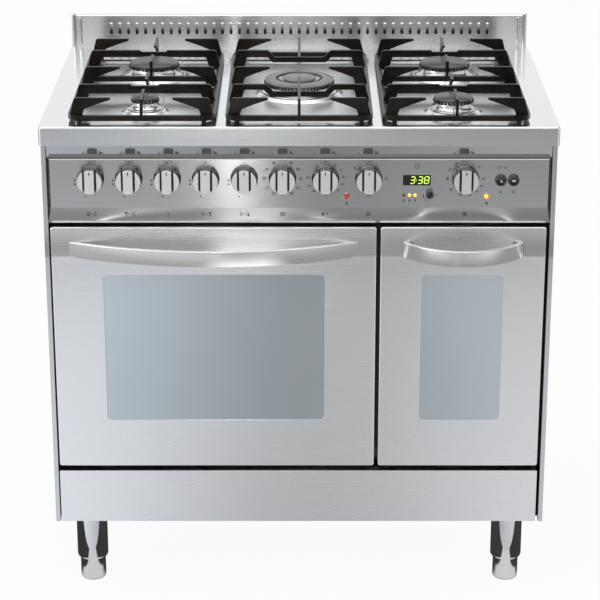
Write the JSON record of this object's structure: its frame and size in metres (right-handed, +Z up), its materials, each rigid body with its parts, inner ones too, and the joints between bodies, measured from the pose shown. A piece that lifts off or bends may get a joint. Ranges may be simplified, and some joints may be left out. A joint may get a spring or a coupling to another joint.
{
  "type": "range cooker with double oven",
  "caption": "Free-standing stainless steel range cooker: gas hob with pan supports, two ovens with drop-down doors, storage drawer and adjustable feet.",
  "frame": {"origin": "on the floor, under the middle of the whole object's width and depth", "axes": "+X to the right of someone standing at the cooker, +Y towards the wall behind it, +Z up; the doors face -Y"},
  "size_m": [0.9, 0.651, 0.967],
  "materials": {
    "hob_steel": "bright polished stainless steel with a fine brushed grain",
    "brushed_steel": "brushed stainless steel, grain along the width",
    "side_steel": "brushed stainless steel, grain along the height",
    "galvanised_steel": "dull galvanised sheet",
    "polished_chrome": "polished chrome plate",
    "burner_aluminium": "bright cast aluminium",
    "burner_cap_enamel": "satin dark grey vitreous enamel",
    "black_enamel": "black vitreous enamel over steel",
    "oven_enamel": "speckled dark vitreous enamel",
    "element_sheath": "heat-tinted sheath",
    "gasket_rubber": "matt braided gasket",
    "satin_knob": "satin silver",
    "gloss_black": "gloss black",
    "window_glass": "smoked, bluish oven glass with a dark rim",
    "gas_brass": "plain brass and copper"
  },
  "bodies": {
    "cooker_body": {"hob_top": "hob_steel", "burner_crown_rear_left": "burner_aluminium", "burner_crown_front_left": "burner_aluminium", "burner_crown_rear_right": "burner_aluminium", "burner_crown_front_right": "burner_aluminium", "burner_crown_centre": "burner_aluminium", "burner_cap_rear_left": "burner_cap_enamel", "burner_cap_front_left": "burner_cap_enamel", "burner_cap_rear_right": "burner_cap_enamel", "burner_cap_front_right": "burner_cap_enamel", "burner_cap_centre": "burner_cap_enamel", "backguard": "brushed_steel", "side_panel_left": "side_steel", "side_panel_right": "side_steel", "back_panel": "galvanised_steel", "base_pan": "galvanised_steel", "control_panel": "brushed_steel", "gas_rail": "gas_brass", "control_board": "gloss_black", "main_oven": "oven_enamel", "small_oven": "oven_enamel", "main_oven_seal": "gasket_rubber", "small_oven_seal": "gasket_rubber", "main_oven_shelf": "polished_chrome", "small_oven_shelf": "polished_chrome", "fan_cover": "oven_enamel", "main_grill_element": "element_sheath", "small_grill_element": "element_sheath"},
    "main_door": {"main_door_skin": "brushed_steel", "main_door_outer_glass": "window_glass", "main_door_liner": "oven_enamel", "main_door_inner_glass": "window_glass", "main_door_handle": "brushed_steel"},
    "small_door": {"small_door_skin": "brushed_steel", "small_door_outer_glass": "window_glass", "small_door_liner": "oven_enamel", "small_door_inner_glass": "window_glass", "small_door_handle": "brushed_steel"},
    "drawer": {"drawer_front": "brushed_steel", "drawer_box": "galvanised_steel"},
    "gas_knob_front_left": {"gas_knob_front_left": "satin_knob"},
    "gas_knob_rear_left": {"gas_knob_rear_left": "satin_knob"},
    "gas_knob_centre": {"gas_knob_centre": "satin_knob"},
    "gas_knob_rear_right": {"gas_knob_rear_right": "satin_knob"},
    "gas_knob_front_right": {"gas_knob_front_right": "satin_knob"},
    "knob_main_oven_function": {"knob_main_oven_function": "satin_knob"},
    "knob_main_oven_heat": {"knob_main_oven_heat": "satin_knob"},
    "knob_minute_timer": {"knob_minute_timer": "satin_knob"},
    "knob_small_oven": {"knob_small_oven": "satin_knob"},
    "timer_knob": {"timer_knob": "gloss_black"},
    "push_button_left": {"push_button_left": "gloss_black"},
    "push_button_right": {"push_button_right": "gloss_black"},
    "pan_support_left": {"pan_support_left": "black_enamel"},
    "pan_support_centre": {"pan_support_centre": "black_enamel"},
    "pan_support_right": {"pan_support_right": "black_enamel"},
    "oven_fan": {"oven_fan": "burner_aluminium"},
    "foot_front_left": {"foot_front_left": "polished_chrome"},
    "foot_front_right": {"foot_front_right": "polished_chrome"},
    "foot_rear_left": {"foot_rear_left": "polished_chrome"},
    "foot_rear_right": {"foot_rear_right": "polished_chrome"}
  },
  "joints": [
    {"name": "main_door_hinge", "type": "hinge", "parent": "cooker_body", "child": "main_door", "pos_m": [-0.1504, -0.2585, 0.269], "axis": [1, 0, 0], "range_deg": [0, 88]},
    {"name": "small_door_hinge", "type": "hinge", "parent": "cooker_body", "child": "small_door", "pos_m": [0.2883, -0.2585, 0.269], "axis": [1, 0, 0], "range_deg": [0, 88]},
    {"name": "drawer_slide", "type": "slide", "parent": "cooker_body", "child": "drawer", "axis": [0, -1, 0], "range_m": [0, 0.33]},
    {"name": "gas_knob_front_left_turn", "type": "hinge", "parent": "cooker_body", "child": "gas_knob_front_left", "pos_m": [-0.3624, -0.2725, 0.807], "axis": [0, -1, 0], "range_deg": [0, 210]},
    {"name": "gas_knob_rear_left_turn", "type": "hinge", "parent": "cooker_body", "child": "gas_knob_rear_left", "pos_m": [-0.29565, -0.2725, 0.807], "axis": [0, -1, 0], "range_deg": [0, 210]},
    {"name": "gas_knob_centre_turn", "type": "hinge", "parent": "cooker_body", "child": "gas_knob_centre", "pos_m": [-0.2289, -0.2725, 0.807], "axis": [0, -1, 0], "range_deg": [0, 210]},
    {"name": "gas_knob_rear_right_turn", "type": "hinge", "parent": "cooker_body", "child": "gas_knob_rear_right", "pos_m": [-0.16215, -0.2725, 0.807], "axis": [0, -1, 0], "range_deg": [0, 210]},
    {"name": "gas_knob_front_right_turn", "type": "hinge", "parent": "cooker_body", "child": "gas_knob_front_right", "pos_m": [-0.0954, -0.2725, 0.807], "axis": [0, -1, 0], "range_deg": [0, 210]},
    {"name": "knob_main_oven_function_turn", "type": "hinge", "parent": "cooker_body", "child": "knob_main_oven_function", "pos_m": [-0.029, -0.2725, 0.807], "axis": [0, 1, 0], "range_deg": [0, 320]},
    {"name": "knob_main_oven_heat_turn", "type": "hinge", "parent": "cooker_body", "child": "knob_main_oven_heat", "pos_m": [0.0454, -0.2725, 0.807], "axis": [0, 1, 0], "range_deg": [0, 290]},
    {"name": "knob_minute_timer_turn", "type": "hinge", "parent": "cooker_body", "child": "knob_minute_timer", "pos_m": [0.1207, -0.2725, 0.807], "axis": [0, 1, 0], "range_deg": [0, 320]},
    {"name": "knob_small_oven_turn", "type": "hinge", "parent": "cooker_body", "child": "knob_small_oven", "pos_m": [0.2888, -0.2725, 0.807], "axis": [0, 1, 0], "range_deg": [0, 310]},
    {"name": "timer_knob_turn", "type": "hinge", "parent": "cooker_body", "child": "timer_knob", "pos_m": [0.227, -0.2725, 0.779], "axis": [0, 1, 0], "range_deg": [-45, 45]},
    {"name": "push_button_left_press", "type": "slide", "parent": "cooker_body", "child": "push_button_left", "axis": [0, 1, 0], "range_m": [0, 0.003], "stiffness_N_per_m": 300},
    {"name": "push_button_right_press", "type": "slide", "parent": "cooker_body", "child": "push_button_right", "axis": [0, 1, 0], "range_m": [0, 0.003], "stiffness_N_per_m": 300},
    {"name": "pan_support_left_lift", "type": "slide", "parent": "cooker_body", "child": "pan_support_left", "axis": [0, 0, 1], "range_m": [0, 0.1]},
    {"name": "pan_support_centre_lift", "type": "slide", "parent": "cooker_body", "child": "pan_support_centre", "axis": [0, 0, 1], "range_m": [0, 0.1]},
    {"name": "pan_support_right_lift", "type": "slide", "parent": "cooker_body", "child": "pan_support_right", "axis": [0, 0, 1], "range_m": [0, 0.1]},
    {"name": "oven_fan_spin", "type": "hinge", "parent": "cooker_body", "child": "oven_fan", "pos_m": [-0.15, 0.1755, 0.47], "axis": [0, -1, 0], "continuous": true},
    {"name": "foot_front_left_screw", "type": "slide", "parent": "cooker_body", "child": "foot_front_left", "axis": [0, 0, -1], "range_m": [-0.02, 0.03]},
    {"name": "foot_front_right_screw", "type": "slide", "parent": "cooker_body", "child": "foot_front_right", "axis": [0, 0, -1], "range_m": [-0.02, 0.03]},
    {"name": "foot_rear_left_screw", "type": "slide", "parent": "cooker_body", "child": "foot_rear_left", "axis": [0, 0, -1], "range_m": [-0.02, 0.03]},
    {"name": "foot_rear_right_screw", "type": "slide", "parent": "cooker_body", "child": "foot_rear_right", "axis": [0, 0, -1], "range_m": [-0.02, 0.03]}
  ]
}
